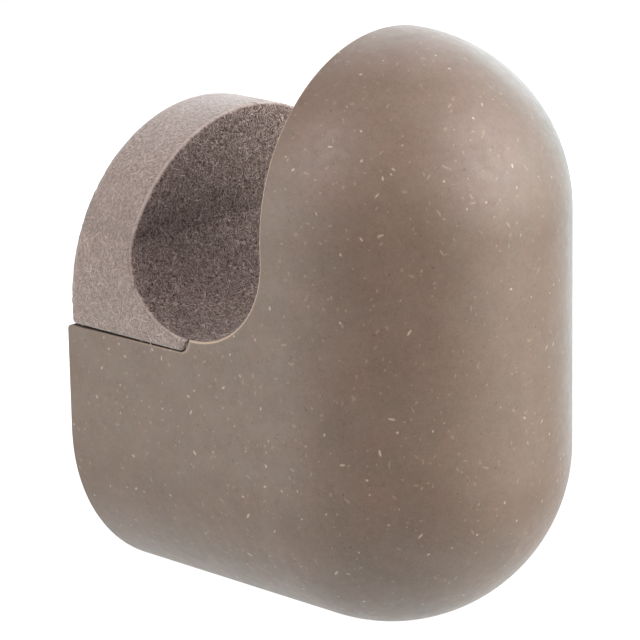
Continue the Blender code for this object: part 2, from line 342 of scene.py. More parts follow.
def startMaterial(name, surface):
    # a Principled material with its fixed sockets set, its tree and its Object coordinates
    material = bpy.data.materials.new(name)
    material.use_nodes = True
    tree = material.node_tree
    shader = tree.nodes["Principled BSDF"]
    for key, value in surface.items():
        shader.inputs[key].default_value = value
    coords = addNode(tree, "ShaderNodeTexCoord").outputs["Object"]
    return material, tree, shader, coords


def startTree(name, values):
    # a Geometry Nodes tree with one named input for each value and one for the material
    tree = bpy.data.node_groups.new(name, "GeometryNodeTree")
    tree.interface.new_socket("Geometry", in_out="INPUT", socket_type="NodeSocketGeometry")
    for label, value in values.items():
        kind = "NodeSocketInt" if isinstance(value, int) else "NodeSocketFloat"
        tree.interface.new_socket(label, in_out="INPUT", socket_type=kind).default_value = value
    tree.interface.new_socket("Material", in_out="INPUT", socket_type="NodeSocketMaterial")
    tree.interface.new_socket("Geometry", in_out="OUTPUT", socket_type="NodeSocketGeometry")
    return tree, tree.nodes.new("NodeGroupInput").outputs


def endTree(tree, geometry, material):
    real = resultOf(tree, "GeometryNodeRealizeInstances", {"Geometry": geometry})
    painted = resultOf(tree, "GeometryNodeSetMaterial", {"Geometry": real, "Material": material})
    addNode(tree, "NodeGroupOutput", {"Geometry": painted})


def runTree(piece, tree, values):
    modifier = piece.modifiers.new(tree.name, "NODES")
    modifier.node_group = tree
    for item in tree.interface.items_tree:
        if item.in_out == "INPUT" and item.name in values:
            modifier[item.identifier] = values[item.name]
    settle(piece)


def inwardOf(tree, coords, half, roundTop):
    # how far a point is from the round outside
    parts = partsOf(tree, coords)
    high = calc(tree, "MAXIMUM", minus(tree, parts["Z"], roundTop), 0.0)
    forward = calc(tree, "MINIMUM", plus(tree, parts["Y"], noseAxis), 0.0)
    sideways = vectorOf(tree, parts["X"], forward, high)
    return calc(tree, "ABSOLUTE", minus(tree, vectorCalc(tree, "LENGTH", sideways), half))


# Shell

shellShape = {"domeRings": 44, "arcSteps": 96, "cornerRadius": 0.5 * mm, "rim": 0.22 * mm,
              "seatRadius": 2.9 * mm, "bossRadius": 4.0 * mm, "bossMargin": 0.4 * mm}
lockDepth = shellRear + shellShape["bossMargin"] + shellShape["bossRadius"]
lockPlace = Matrix.Translation((0.0, -lockDepth, 0.0))


def stadium(radius, steps):
    top = arcPoints((0.0, topCentre), radius, 0, 180, steps)
    return top + arcPoints((0.0, bottomCentre), radius, 180, 360, steps)


def tub(radius, top, steps):
    return [(radius, top), (-radius, top)] + arcPoints((0.0, bottomCentre), radius, 180, 360, steps)


def noseRings(radius, rings, last):
    stations = []
    for ring in range(last + 1):
        angle = math.radians(90 * ring / rings)
        stations.append((noseAxis + radius * math.sin(angle), radius * math.cos(angle)))
    return stations


def outerForm():
    steps = shellShape["arcSteps"]
    rings = shellShape["domeRings"]
    stations = [(shellRear, halfWidth)] + noseRings(halfWidth, rings, rings - 1)
    shape = loftForm([atDepth(stadium(radius, steps), depth) for depth, radius in stations], closeFront=False)
    rim = [edge for edge in shape.edges if edge.is_boundary]
    tip = -noseAxis - halfWidth
    top = shape.verts.new((0.0, tip, topCentre))
    bottom = shape.verts.new((0.0, tip, bottomCentre))
    middle = (topCentre + bottomCentre) / 2
    for edge in rim:
        lower, upper = sorted(edge.verts, key=lambda corner: corner.co.z)
        if lower.co.z > middle:
            shape.faces.new((lower, upper, top))
        elif upper.co.z < middle:
            shape.faces.new((lower, upper, bottom))
        else:
            shape.faces.new((lower, upper, top, bottom))
    return shape


def notchOutline():
    # all that is open above the seam and between the plate and the upright
    above = shellHigh.z + past
    corner = shellShape["cornerRadius"]
    cornerHeight = seamHeight - seam["gapAtWall"] - corner
    outline = [(-past, above), (-past, cornerHeight)]
    outline += arcPoints((shellRear + corner, cornerHeight), corner, 180, 90, 8)
    outline += tipLine(seam["gapAtTip"])
    root = notchAngle(outline[-1][0] + 0.02 * mm)
    outline += arcPoints(notchCentre, notchRadius, root, 360, notch["steps"])
    outline += [(notchFront, above)]
    return outline


def onOutside(point):
    # true where the point lies on the shell's outer form
    depth = -point.y
    x = point.x
    z = point.z - min(max(point.z, bottomCentre), topCentre)
    forward = max(depth - noseAxis, 0.0)
    reach = math.sqrt(x * x + z * z + forward * forward)
    return abs(reach - halfWidth) < 0.02 * mm


def makeShell():
    shell = addPiece("shell_body", outerForm())
    steps = [("DIFFERENCE", acrossForm(notchOutline(), halfWidth + past)),
             ("DIFFERENCE", liningForm(past, seam["gapAtTip"]))]

    rings = [atDepth(tub(cavityRadius, cavityTop, 36), -past)]
    for depth, radius in noseRings(cavityRadius, 12, 10):
        rings.append(atDepth(tub(radius, cavityTop, 36), depth))
    steps.append(("DIFFERENCE", loftForm(rings)))

    roomEnd = seam["reach"] + seam["gapAtTip"]
    low = cavityTop - past
    outline = rectangle(-past, low, roomEnd, notchFloor + past)
    steps.append(("DIFFERENCE", acrossForm(outline, cavityRadius)))

    root = seam["reach"] - past
    end = spigotTip + inside["slide"]
    high = spigotTop + inside["slide"]
    outline = rectangle(root, low, end, high)
    wide = inside["spigotHalf"] + inside["slide"]
    steps.append(("DIFFERENCE", acrossForm(outline, wide)))

    sunk = bottomCentre - cavityRadius - inside["wall"] / 2
    boss = turnedForm(rectangle(0.0, sunk, shellShape["bossRadius"], bossTop), 64)
    seat = turnedForm(rectangle(0.0, shellLow.z - past, shellShape["seatRadius"], bossTop + past), 64)
    steps += [("UNION", boss, lockPlace), ("DIFFERENCE", seat, lockPlace)]
    carve(shell, steps)

    def weight(edge):
        ends = [corner.co for corner in edge.verts]
        if not all(onOutside(point) for point in ends):
            return 0.0
        # the edge under the seam is sharper
        atTip = min(point.y for point in ends) > -seam["reach"] - 0.05 * mm
        return 0.4 if atTip and max(point.z for point in ends) < notchFloor + 0.01 * mm else 1.0

    roundRims(shell, shellShape["rim"], 3, weight)
    shadeSmooth(shell)
    return shell


shellPiece = makeShell()
print("shell made:", len(shellPiece.data.polygons), "faces")


# Base

baseShape = {"rearRounding": 1.9 * mm, "corner": 0.8 * mm, "arcSteps": 96, "rim": 0.42 * mm,
             "voxel": 0.23 * mm, "creaseAngle": 10, "evenWithin": 0.15 * mm,
             "headRadius": 3.9 * mm, "headRim": 0.4 * mm, "screwRadius": 2.0 * mm,
             "clearance": 0.25 * mm, "screwMargin": 0.8 * mm}
upperScrew = spigotBottom - baseShape["headRadius"] - baseShape["screwMargin"]
lowerScrew = coreBottom + baseShape["headRadius"] + baseShape["screwMargin"]


def outOfWall(height):
    # turns a form made along +Z so that it points out of the wall
    return Matrix.Translation((0.0, 0.0, height)) @ Matrix.Rotation(math.radians(90), 4, "X")


def baseForm():
    rounding = baseShape["rearRounding"]
    inner = baseHalf - rounding
    stations = [(-past, inner)]
    for depth, extra in arcPoints((rounding, 0.0), rounding, 180, 90, 10):
        stations.append((depth, inner + extra))
    stations.append((seam["reach"] + past, baseHalf))
    rings = []
    for depth, radius in stations:
        outline = arcPoints((0.0, 0.0), radius, 0, 180, baseShape["arcSteps"])
        outline += [(-radius, seamHeight - past), (radius, seamHeight - past)]
        rings.append(atDepth(outline, depth))
    return loftForm(rings)


def onBaseSide(point):
    reach = math.hypot(point.x, max(point.z, 0.0))
    return abs(reach - baseHalf) < 0.03 * mm


def evenOutside(piece):
    # brings the remeshed outside back to its exact round form, less so towards its rims
    rounding = baseShape["rearRounding"]
    near = baseShape["evenWithin"]
    for corner in piece.data.vertices:
        reach = math.hypot(corner.co.x, max(corner.co.z, 0.0))
        inner = rounding - min(max(-corner.co.y, 0.0), rounding)
        target = baseHalf - rounding + math.sqrt(rounding ** 2 - inner ** 2)
        pull = min(max(2.0 - 2.0 * abs(target - reach) / near, 0.0), 1.0)
        if pull > 0 and corner.co.y < -near:
            share = 1.0 + pull * (target / reach - 1.0)
            corner.co.x *= share
            if corner.co.z > 0:
                corner.co.z *= share


def makeBlock():
    # all of the base that shows above the seam
    corner = baseShape["corner"]
    outline = arcPoints((corner, seamHeight + corner), corner, 180, 270, 8)
    outline += tipLine(0.0)
    # the rear wall meets the round floor in a faint crease
    root = notchAngle(outline[-1][0] - 0.05 * mm)
    outline += arcPoints(notchCentre, notchRadius, root, 180 + baseShape["creaseAngle"], notch["steps"])
    above = baseHalf + past
    outline += [(outline[-1][0], above), (0.0, above)]
    block = addPiece("base_body", acrossForm(outline, above))
    carve(block, [("INTERSECT", baseForm()), ("UNION", liningForm(0.0, 0.0))])

    def weight(edge):
        ends = [corner.co for corner in edge.verts]
        if not all(onBaseSide(point) for point in ends):
            return 0.0
        if max(point.z for point in ends) < seamHeight + 0.1 * mm:
            return 0.2
        nearTip = (seam["reach"] + max(point.y for point in ends)) / (3.0 * mm)
        return min(max(nearTip, 0.2), 1.0)

    roundRims(block, baseShape["rim"], 4, weight)
    applyModifier(block, "REMESH", mode="VOXEL", voxel_size=baseShape["voxel"])
    evenOutside(block)
    return block


def makeCore():
    # the plate, tongue, gussets and spigot that the shell hides
    high = notchFloor - seam["lip"] / 2
    wall = notch["wall"]
    reach = seam["reach"]
    outline = [(0.0, high), (reach, high), (reach, spigotBottom), (wall, spigotBottom)]
    outline += [(wall, coreBottom), (0.0, coreBottom)]
    core = addPiece("core", acrossForm(outline, halfWidth))
    foot = spigotBottom - inside["gussetHeight"]
    sunk = past / 2
    outline = [(wall - sunk, foot), (wall, foot), (reach, spigotBottom), (reach, spigotBottom + sunk)]
    outline.append((wall - sunk, spigotBottom + sunk))
    inner = coreRadius - inside["gusset"]
    steps = []
    for left, right in ((-halfWidth, -inner), (inner, halfWidth)):
        steps.append(("UNION", acrossForm(outline, right, left)))
    rings = [atDepth(tub(coreRadius, 0.0, 48), depth) for depth in (-past, spigotTip)]
    steps.append(("INTERSECT", loftForm(rings)))
    outline = rectangle(reach - past, spigotBottom, spigotTip, spigotTop)
    steps.append(("UNION", acrossForm(outline, inside["spigotHalf"])))
    hole = baseShape["screwRadius"] + baseShape["clearance"]
    sink = baseShape["headRadius"] + baseShape["clearance"]
    mouth = wall - baseShape["headRim"]
    profile = [(0.0, -past), (hole, -past), (hole, mouth - (sink - hole)), (sink, mouth)]
    profile += [(sink, wall + past), (0.0, wall + past)]
    for height in (upperScrew, lowerScrew):
        steps.append(("DIFFERENCE", turnedForm(profile, 64), outOfWall(height)))
    carve(core, steps)

    def weight(edge):
        # round the outward edges, but not those at the wall or inside the block
        ends = [corner.co for corner in edge.verts]
        inRoot = max(point.z for point in ends) > seamHeight - 0.5 * mm
        atWall = max(point.y for point in ends) > -0.3 * mm
        return 1.0 if edge.is_convex and not inRoot and not atWall else 0.0

    roundRims(core, 0.25 * mm, 2, weight)
    applyModifier(core, "TRIANGULATE")
    return core


reliefValues = {"Coarse size": 2.6 * mm, "Coarse depth": 0.03 * mm,
                "Fine size": 0.6 * mm, "Fine depth": 0.08 * mm, "Seam height": seamHeight}


def reliefTree():
    # smooths the remeshed block a little, then sinks it unevenly, but not at the seam or the wall
    tree, given = startTree("rough relief", reliefValues)
    place = resultOf(tree, "GeometryNodeInputPosition")
    values = {"Value": place, "Iterations": 2}
    smooth = resultOf(tree, "GeometryNodeBlurAttribute", values, data_type="FLOAT_VECTOR")
    values = {"Geometry": given["Geometry"], "Position": smooth}
    evened = resultOf(tree, "GeometryNodeSetPosition", values)
    parts = partsOf(tree, place)
    offSeam = remap(tree, minus(tree, parts["Z"], given["Seam height"]), 0.02 * mm, 0.5 * mm)
    offWall = remap(tree, parts["Y"], -0.05 * mm, -0.6 * mm)
    offOutside = remap(tree, inwardOf(tree, place, baseHalf, 0.0), 0.1 * mm, 0.5 * mm, 0.2, 1.0)
    depth = 0.0
    for label in ("Coarse", "Fine"):
        scale = calc(tree, "DIVIDE", 1.0, given[label + " size"])
        values = {"Vector": place, "Scale": scale, "Detail": 2.0}
        noise = resultOf(tree, "ShaderNodeTexNoise", values)
        depth = plus(tree, depth, times(tree, remap(tree, noise, 0.3, 0.7), given[label + " depth"]))
    depth = times(tree, depth, times(tree, offSeam, offWall, offOutside))
    normal = resultOf(tree, "GeometryNodeInputNormal")
    values = {0: normal, "Scale": times(tree, depth, -1.0)}
    offset = resultOf(tree, "ShaderNodeVectorMath", values, operation="SCALE")
    sunk = resultOf(tree, "GeometryNodeSetPosition", {"Geometry": evened, "Offset": offset})
    endTree(tree, sunk, given["Material"])
    return tree


sliverValues = {"Density": 1.5e6, "Length": 0.95 * mm, "Radius": 0.045 * mm, "Seed": 11,
                "Seam height": seamHeight, "Lip reach": seam["reach"], "Limit": baseHalf,
                "Rear rounding": baseShape["rearRounding"]}
sliverShape = {"bend": 0.28, "shortest": 0.55, "longest": 1.45, "endSwell": 0.25,
               "aboveSeam": 0.35 * mm, "offRounding": 1.25, "downward": -0.5}


def sliverTree():
    # short bent fibres that lie on the rough surface in all directions
    tree, given = startTree("fibre slivers", sliverValues)
    parts = partsOf(tree, resultOf(tree, "GeometryNodeInputPosition"))
    lean = partsOf(tree, resultOf(tree, "GeometryNodeInputNormal"))
    height = minus(tree, parts["Z"], given["Seam height"])
    aboveSeam = calc(tree, "GREATER_THAN", height, sliverShape["aboveSeam"])
    rear = times(tree, given["Rear rounding"], -sliverShape["offRounding"])
    offWall = calc(tree, "LESS_THAN", parts["Y"], rear)
    notUnder = calc(tree, "GREATER_THAN", lean["Z"], sliverShape["downward"])
    behindTip = calc(tree, "GREATER_THAN", parts["Y"], times(tree, given["Lip reach"], -1.0))
    inNotch = calc(tree, "GREATER_THAN", plus(tree, lean["Y"], lean["Z"]), 0.0)
    shown = times(tree, aboveSeam, offWall, notUnder, calc(tree, "MAXIMUM", behindTip, inNotch))
    density = times(tree, given["Density"], shown)
    values = {"Mesh": given["Geometry"], "Density": density, "Seed": given["Seed"]}
    points = addNode(tree, "GeometryNodeDistributePointsOnFaces", values).outputs

    values = {"Resolution": 4, "Start": (-0.5, 0.0, 0.0), "Middle": (0.0, sliverShape["bend"], 0.0),
              "End": (0.5, 0.0, 0.0)}
    curve = resultOf(tree, "GeometryNodeCurveQuadraticBezier", values)
    along = addNode(tree, "GeometryNodeSplineParameter").outputs["Factor"]
    swell = plus(tree, calc(tree, "SINE", times(tree, along, math.pi)), sliverShape["endSwell"])
    thick = times(tree, swell, calc(tree, "DIVIDE", given["Radius"], given["Length"]))
    ring = resultOf(tree, "GeometryNodeCurvePrimitiveCircle", {"Resolution": 3, "Radius": 1.0})
    values = {"Curve": curve, "Profile Curve": ring, "Scale": thick, "Fill Caps": True}
    sliver = resultOf(tree, "GeometryNodeCurveToMesh", values)
    values = {"Axis": (0.0, 0.0, 1.0), "Angle": randomOf(tree, 0.0, 2 * math.pi, 3)}
    about = resultOf(tree, "FunctionNodeAxisAngleToRotation", values)
    values = {"Rotation": points["Rotation"], "Rotate By": about}
    turned = resultOf(tree, "FunctionNodeRotateRotation", values, rotation_space="LOCAL")
    size = randomOf(tree, sliverShape["shortest"], sliverShape["longest"], 5)
    values = {"Points": points["Points"], "Instance": sliver, "Rotation": turned,
              "Scale": times(tree, size, given["Length"])}
    laid = resultOf(tree, "GeometryNodeInstanceOnPoints", values)
    values = {"Geometry": laid, "Name": "fibreTone", "Value": randomOf(tree, 0.0, 1.0, 7)}
    kind = {"data_type": "FLOAT", "domain": "INSTANCE"}
    toned = resultOf(tree, "GeometryNodeStoreNamedAttribute", values, **kind)
    real = resultOf(tree, "GeometryNodeRealizeInstances", {"Geometry": toned})
    # no fibre stands past the round side of the base
    raised = calc(tree, "MAXIMUM", parts["Z"], 0.0)
    square = plus(tree, times(tree, parts["X"], parts["X"]), times(tree, raised, raised))
    share = calc(tree, "DIVIDE", given["Limit"], calc(tree, "SQRT", square))
    share = calc(tree, "MINIMUM", share, 1.0)
    level = plus(tree, times(tree, raised, share), calc(tree, "MINIMUM", parts["Z"], 0.0))
    held = vectorOf(tree, times(tree, parts["X"], share), parts["Y"], level)
    kept = resultOf(tree, "GeometryNodeSetPosition", {"Geometry": real, "Position": held})
    endTree(tree, kept, given["Material"])
    return tree


# Materials

def offLine(tree, across, along, radius):
    # how far a point is from a line that runs straight and then round an arc
    reach = vectorCalc(tree, "LENGTH", vectorOf(tree, across, along))
    return calc(tree, "ABSOLUTE", minus(tree, reach, radius))


def rimHighlightMask(tree, coords, inward, width):
    # a narrow band on both sides of the notch's rims, where a painted highlight goes
    parts = partsOf(tree, coords)
    across = plus(tree, parts["Y"], notchMiddle)
    below = calc(tree, "MINIMUM", minus(tree, parts["Z"], notchCentre[1]), 0.0)
    away = calc(tree, "MAXIMUM", inward, offLine(tree, across, below, notchRadius))
    return fade(tree, away, 0.4 * width, width)


def seamMasks(tree, coords, inward, width):
    # a faint band under the seam for a painted highlight, and the parts that lie deep in its gap for painted
    # shade
    parts = partsOf(tree, coords)
    across = calc(tree, "MINIMUM", plus(tree, parts["Y"], tipCentre[0]), 0.0)
    along = minus(tree, parts["Z"], tipCentre[1])
    away = offLine(tree, across, along, tipRadius + seam["gapAtTip"])
    faintHighlight = fade(tree, calc(tree, "MAXIMUM", inward, away), 0.2 * width, 0.8 * width)
    deepShade = times(tree, remap(tree, inward, 0.12 * mm, 0.3 * mm), fade(tree, away, 0.2 * mm, 0.3 * mm))
    return faintHighlight, deepShade


def fleckMask(tree, coords, cell, length, width, share, shift):
    # one fleck to a cell, each turned its own way; share is how many of the cells have one
    moved = vectorCalc(tree, "ADD", coords, (shift, -0.7 * shift, 0.4 * shift))
    values = {"Vector": moved, "Scale": 1 / cell, "Randomness": 0.85}
    middle = addNode(tree, "ShaderNodeTexVoronoi", values).outputs["Position"]
    lot = addNode(tree, "ShaderNodeTexWhiteNoise", {"Vector": middle}).outputs
    heading = vectorCalc(tree, "NORMALIZE", vectorCalc(tree, "SUBTRACT", lot["Color"], (0.5, 0.5, 0.5)))
    offset = vectorCalc(tree, "SUBTRACT", moved, middle)
    along = vectorCalc(tree, "DOT_PRODUCT", offset, heading)
    alongSquare = times(tree, along, along)
    acrossSquare = minus(tree, vectorCalc(tree, "DOT_PRODUCT", offset, offset), alongSquare)
    reach = plus(tree, calc(tree, "DIVIDE", alongSquare, length * length / 4),
                 calc(tree, "DIVIDE", acrossSquare, width * width / 4))
    uneven = times(tree, noiseOf(tree, coords, 0.25 * mm, 1.0), 0.7)
    mask = fade(tree, plus(tree, reach, uneven), 1.0, 1.6)
    return times(tree, mask, calc(tree, "LESS_THAN", lot["Value"], share)), lot["Value"]


# rim is the colour of the painted highlight on the rims, gap the colour of the painted shade deep in the seam
shellFinish = {"low": (0.102, 0.067, 0.048), "high": (0.144, 0.098, 0.074), "cream": (0.42, 0.33, 0.26),
               "straw": (0.25, 0.165, 0.11), "dark": (0.045, 0.028, 0.020), "gap": (0.045, 0.024, 0.013),
               "rim": (0.34, 0.25, 0.19), "highlightWidth": 0.3 * mm, "warm": (1.02, 0.988, 0.98),
               "cool": (0.985, 1.01, 1.005), "driftSize": 4.0 * mm}
# each shade layer's size in mm, detail and share
shellShades = ((5.0, 3.0, 0.35), (0.7, 2.0, 0.25), (0.22, 2.0, 0.40))
# each layer's colour, cell, length and width in mm, share of cells, shift and strength
shellFlecks = (("cream", 1.2, 0.9, 0.24, 0.80, 0.023, 0.22), ("dark", 1.3, 0.7, 0.26, 0.60, 0.047, 0.30),
               ("straw", 1.6, 0.8, 0.35, 0.30, 0.011, 0.6), ("cream", 1.7, 0.85, 0.27, 0.48, 0.0, 0.7),
               ("dark", 1.5, 0.5, 0.22, 0.20, 0.037, 0.85))


def makeShellMaterial():
    surface = {"Sheen Weight": 0.12, "Sheen Roughness": 0.4}
    material, tree, shader, coords = startMaterial("smooth_composite", surface)
    shade = 0.0
    for size, detail, share in shellShades:
        layer = remap(tree, noiseOf(tree, coords, size * mm, detail, 0.6), 0.3, 0.7)
        shade = plus(tree, shade, times(tree, layer, share))
    colour = mixColour(tree, shade, shellFinish["low"], shellFinish["high"])
    drift = remap(tree, noiseOf(tree, coords, shellFinish["driftSize"], 2.0), 0.35, 0.65)
    warmth = mixColour(tree, drift, shellFinish["warm"], shellFinish["cool"])
    colour = mixColour(tree, 1.0, colour, warmth, "MULTIPLY")
    flecks = 0.0
    for name, cell, length, width, share, shift, strength in shellFlecks:
        mask, lot = fleckMask(tree, coords, cell * mm, length * mm, width * mm, share, shift)
        uneven = plus(tree, times(tree, lot, 0.5 * strength), 0.6 * strength)
        colour = lay(tree, colour, mask, uneven, shellFinish[name])
        flecks = plus(tree, flecks, mask)
    inward = inwardOf(tree, coords, halfWidth, topCentre)
    rim = rimHighlightMask(tree, coords, inward, shellFinish["highlightWidth"])
    faintHighlight, deepShade = seamMasks(tree, coords, inward, shellFinish["highlightWidth"])
    # painted highlight along the notch's rims, and a fainter one under the seam, where light catches their
    # rounded edges
    rim = calc(tree, "MAXIMUM", rim, times(tree, faintHighlight, 0.35))
    colour = mixColour(tree, rim, colour, shellFinish["rim"])
    # painted shade deep in the seam's gap
    colour = lay(tree, colour, deepShade, 0.9, shellFinish["gap"])
    gloss = remap(tree, noiseOf(tree, coords, 1.2 * mm, 3.0), 0.25, 0.75, 0.48, 0.58)
    height = plus(tree, noiseOf(tree, coords, 0.35 * mm, 3.0, 0.6), times(tree, flecks, 0.5))
    wire(tree, shader, {"Base Color": colour, "Specular IOR Level": remap(tree, deepShade, 0.0, 1.0, 0.5, 0.0),
                        "Roughness": gloss, "Normal": bumpOf(tree, 0.10, 0.06 * mm, height)})
    return material


# the darkest colour is both the felt's dark tone and the colour of all painted shade; gap is painted shade in
# the seam, rim a painted highlight; shade, creaseShade and frontShade are shares of painted shade
baseFinish = {"darkAndShade": (0.045, 0.029, 0.0242), "matrix": (0.195, 0.141, 0.121), "fibre": (0.45, 0.362, 0.325),
              "side": (0.215, 0.172, 0.152), "gap": (0.045, 0.026, 0.016),
              "curls": ((0.5, 0.45), (0.44, 0.55), (0.38, 0.75), (0.32, 0.6), (0.41, 0.9)),
              "shade": 0.42, "creaseShade": 0.25, "frontShade": 0.16,
              "rim": (0.43, 0.36, 0.33), "highlightWidth": 0.35 * mm}


def matFibres(tree, coords, colour):
    # curved fibres over one another: each follows a noise's middle value, ends, and has a painted shade
    # beside it
    height = 0.0
    for index, (size, tone) in enumerate(baseFinish["curls"]):
        shift = (0.0041 + 0.01317 * index, 0.00213 + 0.00711 * index, 0.00331 - 0.00937 * index)
        moved = vectorCalc(tree, "ADD", coords, shift)
        apart = vectorCalc(tree, "ADD", coords, tuple(3.7 * part for part in shift))
        off = calc(tree, "ABSOLUTE", minus(tree, noiseOf(tree, moved, size * mm, 0.0), 0.5))
        kept = remap(tree, noiseOf(tree, apart, 1.1 * size * mm, 0.0), 0.46, 0.54)
        besideShade = times(tree, fade(tree, off, 0.06, 0.16), kept)
        colour = lay(tree, colour, besideShade, baseFinish["shade"], baseFinish["darkAndShade"])
        core = times(tree, fade(tree, off, 0.02, 0.07), kept)
        colour = lay(tree, colour, core, tone, baseFinish["fibre"])
        height = calc(tree, "MAXIMUM", height, times(tree, core, tone))
    return colour, height


def makeBaseMaterial():
    surface = {"Roughness": 0.85, "Sheen Roughness": 0.4}
    material, tree, shader, coords = startMaterial("rough_composite", surface)
    cloud = remap(tree, noiseOf(tree, coords, 3.5 * mm, 3.0), 0.3, 0.7)
    felt = noiseOf(tree, coords, 0.4 * mm, 2.0, 0.6)
    shade = plus(tree, times(tree, cloud, 0.25), times(tree, remap(tree, felt, 0.35, 0.6), 0.75))
    colour = mixColour(tree, shade, baseFinish["darkAndShade"], baseFinish["matrix"])
    colour, fibres = matFibres(tree, coords, colour)
    # painted shade: the notch is darkened just above the crease at its foot, and towards its front
    parts = partsOf(tree, coords)
    crease = notchCentre[1] - notchRadius * math.sin(math.radians(baseShape["creaseAngle"]))
    above = minus(tree, parts["Z"], crease)
    paintedShade = times(tree, remap(tree, above, -0.15 * mm, 0.15 * mm), fade(tree, above, 0.0, 6.0 * mm),
                   calc(tree, "GREATER_THAN", parts["Y"], -notchMiddle))
    front = fade(tree, parts["Y"], -seam["reach"], -seam["reach"] + 6.0 * mm)
    front = times(tree, front, baseFinish["frontShade"])
    paintedShade = plus(tree, times(tree, paintedShade, baseFinish["creaseShade"]), front)
    colour = mixColour(tree, paintedShade, colour, baseFinish["darkAndShade"])
    # the round outside is smoother, paler and more even than the notch
    inward = inwardOf(tree, coords, baseHalf, 0.0)
    outer = fade(tree, inward, 0.15 * mm, 0.45 * mm)
    colour = lay(tree, colour, outer, 0.5, baseFinish["side"])
    # painted highlight along the notch's rims, where light catches their rounded edges
    rim = rimHighlightMask(tree, coords, inward, baseFinish["highlightWidth"])
    colour = lay(tree, colour, rim, 0.6, baseFinish["rim"])
    # painted shade: the underside that faces the seam, outside the core, is darkened
    level = calc(tree, "ABSOLUTE", minus(tree, parts["Z"], seamHeight))
    overhang = baseHalf - coreRadius
    seamShade = times(tree, fade(tree, level, 0.04 * mm, 0.12 * mm),
                  fade(tree, inward, overhang - 0.3 * mm, overhang - 0.1 * mm))
    colour = lay(tree, colour, seamShade, 0.9, baseFinish["gap"])
    uneven = plus(tree, times(tree, felt, 0.6), times(tree, fibres, 0.5))
    height = times(tree, uneven, remap(tree, outer, 0.0, 1.0, 1.0, 0.6))
    wire(tree, shader, {"Base Color": colour, "Specular IOR Level": remap(tree, seamShade, 0.0, 1.0, 0.25, 0.0),
                        "Sheen Weight": remap(tree, outer, 0.0, 1.0, 0.03, 0.5),
                        "Normal": bumpOf(tree, 0.9, 0.15 * mm, height)})
    return material


fibreFinish = {"dark": (0.144, 0.105, 0.088), "pale": (0.49, 0.405, 0.37)}


def makeFibreMaterial():
    surface = {"Specular IOR Level": 0.3, "Roughness": 0.7}
    material, tree, shader, coords = startMaterial("rough_composite_fibre", surface)
    tone = addNode(tree, "ShaderNodeAttribute", attribute_name="fibreTone").outputs["Fac"]
    streak = noiseOf(tree, coords, 0.3 * mm, 2.0)
    shade = plus(tree, times(tree, tone, 0.75), times(tree, streak, 0.25))
    colour = mixColour(tree, shade, fibreFinish["dark"], fibreFinish["pale"])
    wire(tree, shader, {"Base Color": colour})
    return material


def makeMetal(name, low, high, roughness, grain):
    material, tree, shader, coords = startMaterial(name, {"Metallic": 1.0})
    noise = noiseOf(tree, coords, grain, 4.0, 0.6)
    fine = noiseOf(tree, coords, grain / 3, 2.0)
    gloss = remap(tree, noise, 0.2, 0.8, roughness - 0.07, roughness + 0.07)
    wire(tree, shader, {"Base Color": mixColour(tree, noise, low, high), "Roughness": gloss,
                        "Normal": bumpOf(tree, 0.15, 0.03 * mm, fine)})
    return material


shellMaterial = makeShellMaterial()
baseMaterial = makeBaseMaterial()
fibreMaterial = makeFibreMaterial()
zincMaterial = makeMetal("zinc_steel", (0.52, 0.53, 0.54), (0.70, 0.71, 0.71), 0.34, 0.8 * mm)
blackMaterial = makeMetal("black_steel", (0.035, 0.035, 0.038), (0.07, 0.07, 0.075), 0.42, 0.5 * mm)
brassMaterial = makeMetal("insert_brass", (0.70, 0.53, 0.25), (0.82, 0.66, 0.36), 0.34, 0.6 * mm)
print("materials made")


def dress(piece, body, slot, material, *nodes):
    piece.data.materials.clear()
    piece.data.materials.append(material)
    if nodes:
        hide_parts(*nodes)
    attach(piece, body)


# Base, its relief and its fibres

basePiece = makeBlock()
runTree(basePiece, reliefTree(), {**reliefValues, "Material": baseMaterial})
print("block made:", len(basePiece.data.polygons), "faces")
corePiece = makeCore()
carve(basePiece, [("UNION", corePiece)])
shadeSmooth(basePiece, 45)
print("base made:", len(basePiece.data.polygons), "faces")

fibrePiece = putInScene("base_fibres", basePiece.data.copy())
runTree(fibrePiece, sliverTree(), {**sliverValues, "Material": fibreMaterial})
fibrePiece.data.shade_smooth()
print("fibres made:", len(fibrePiece.data.polygons), "faces")


# Screws

threadValues = {"Core radius": 1.45 * mm, "Thread depth": 0.55 * mm, "Pitch": 1.6 * mm, "Start": -14.2 * mm,
                "Length": 17.0 * mm, "Tip length": 4.0 * mm, "Tip": -15.0 * mm}


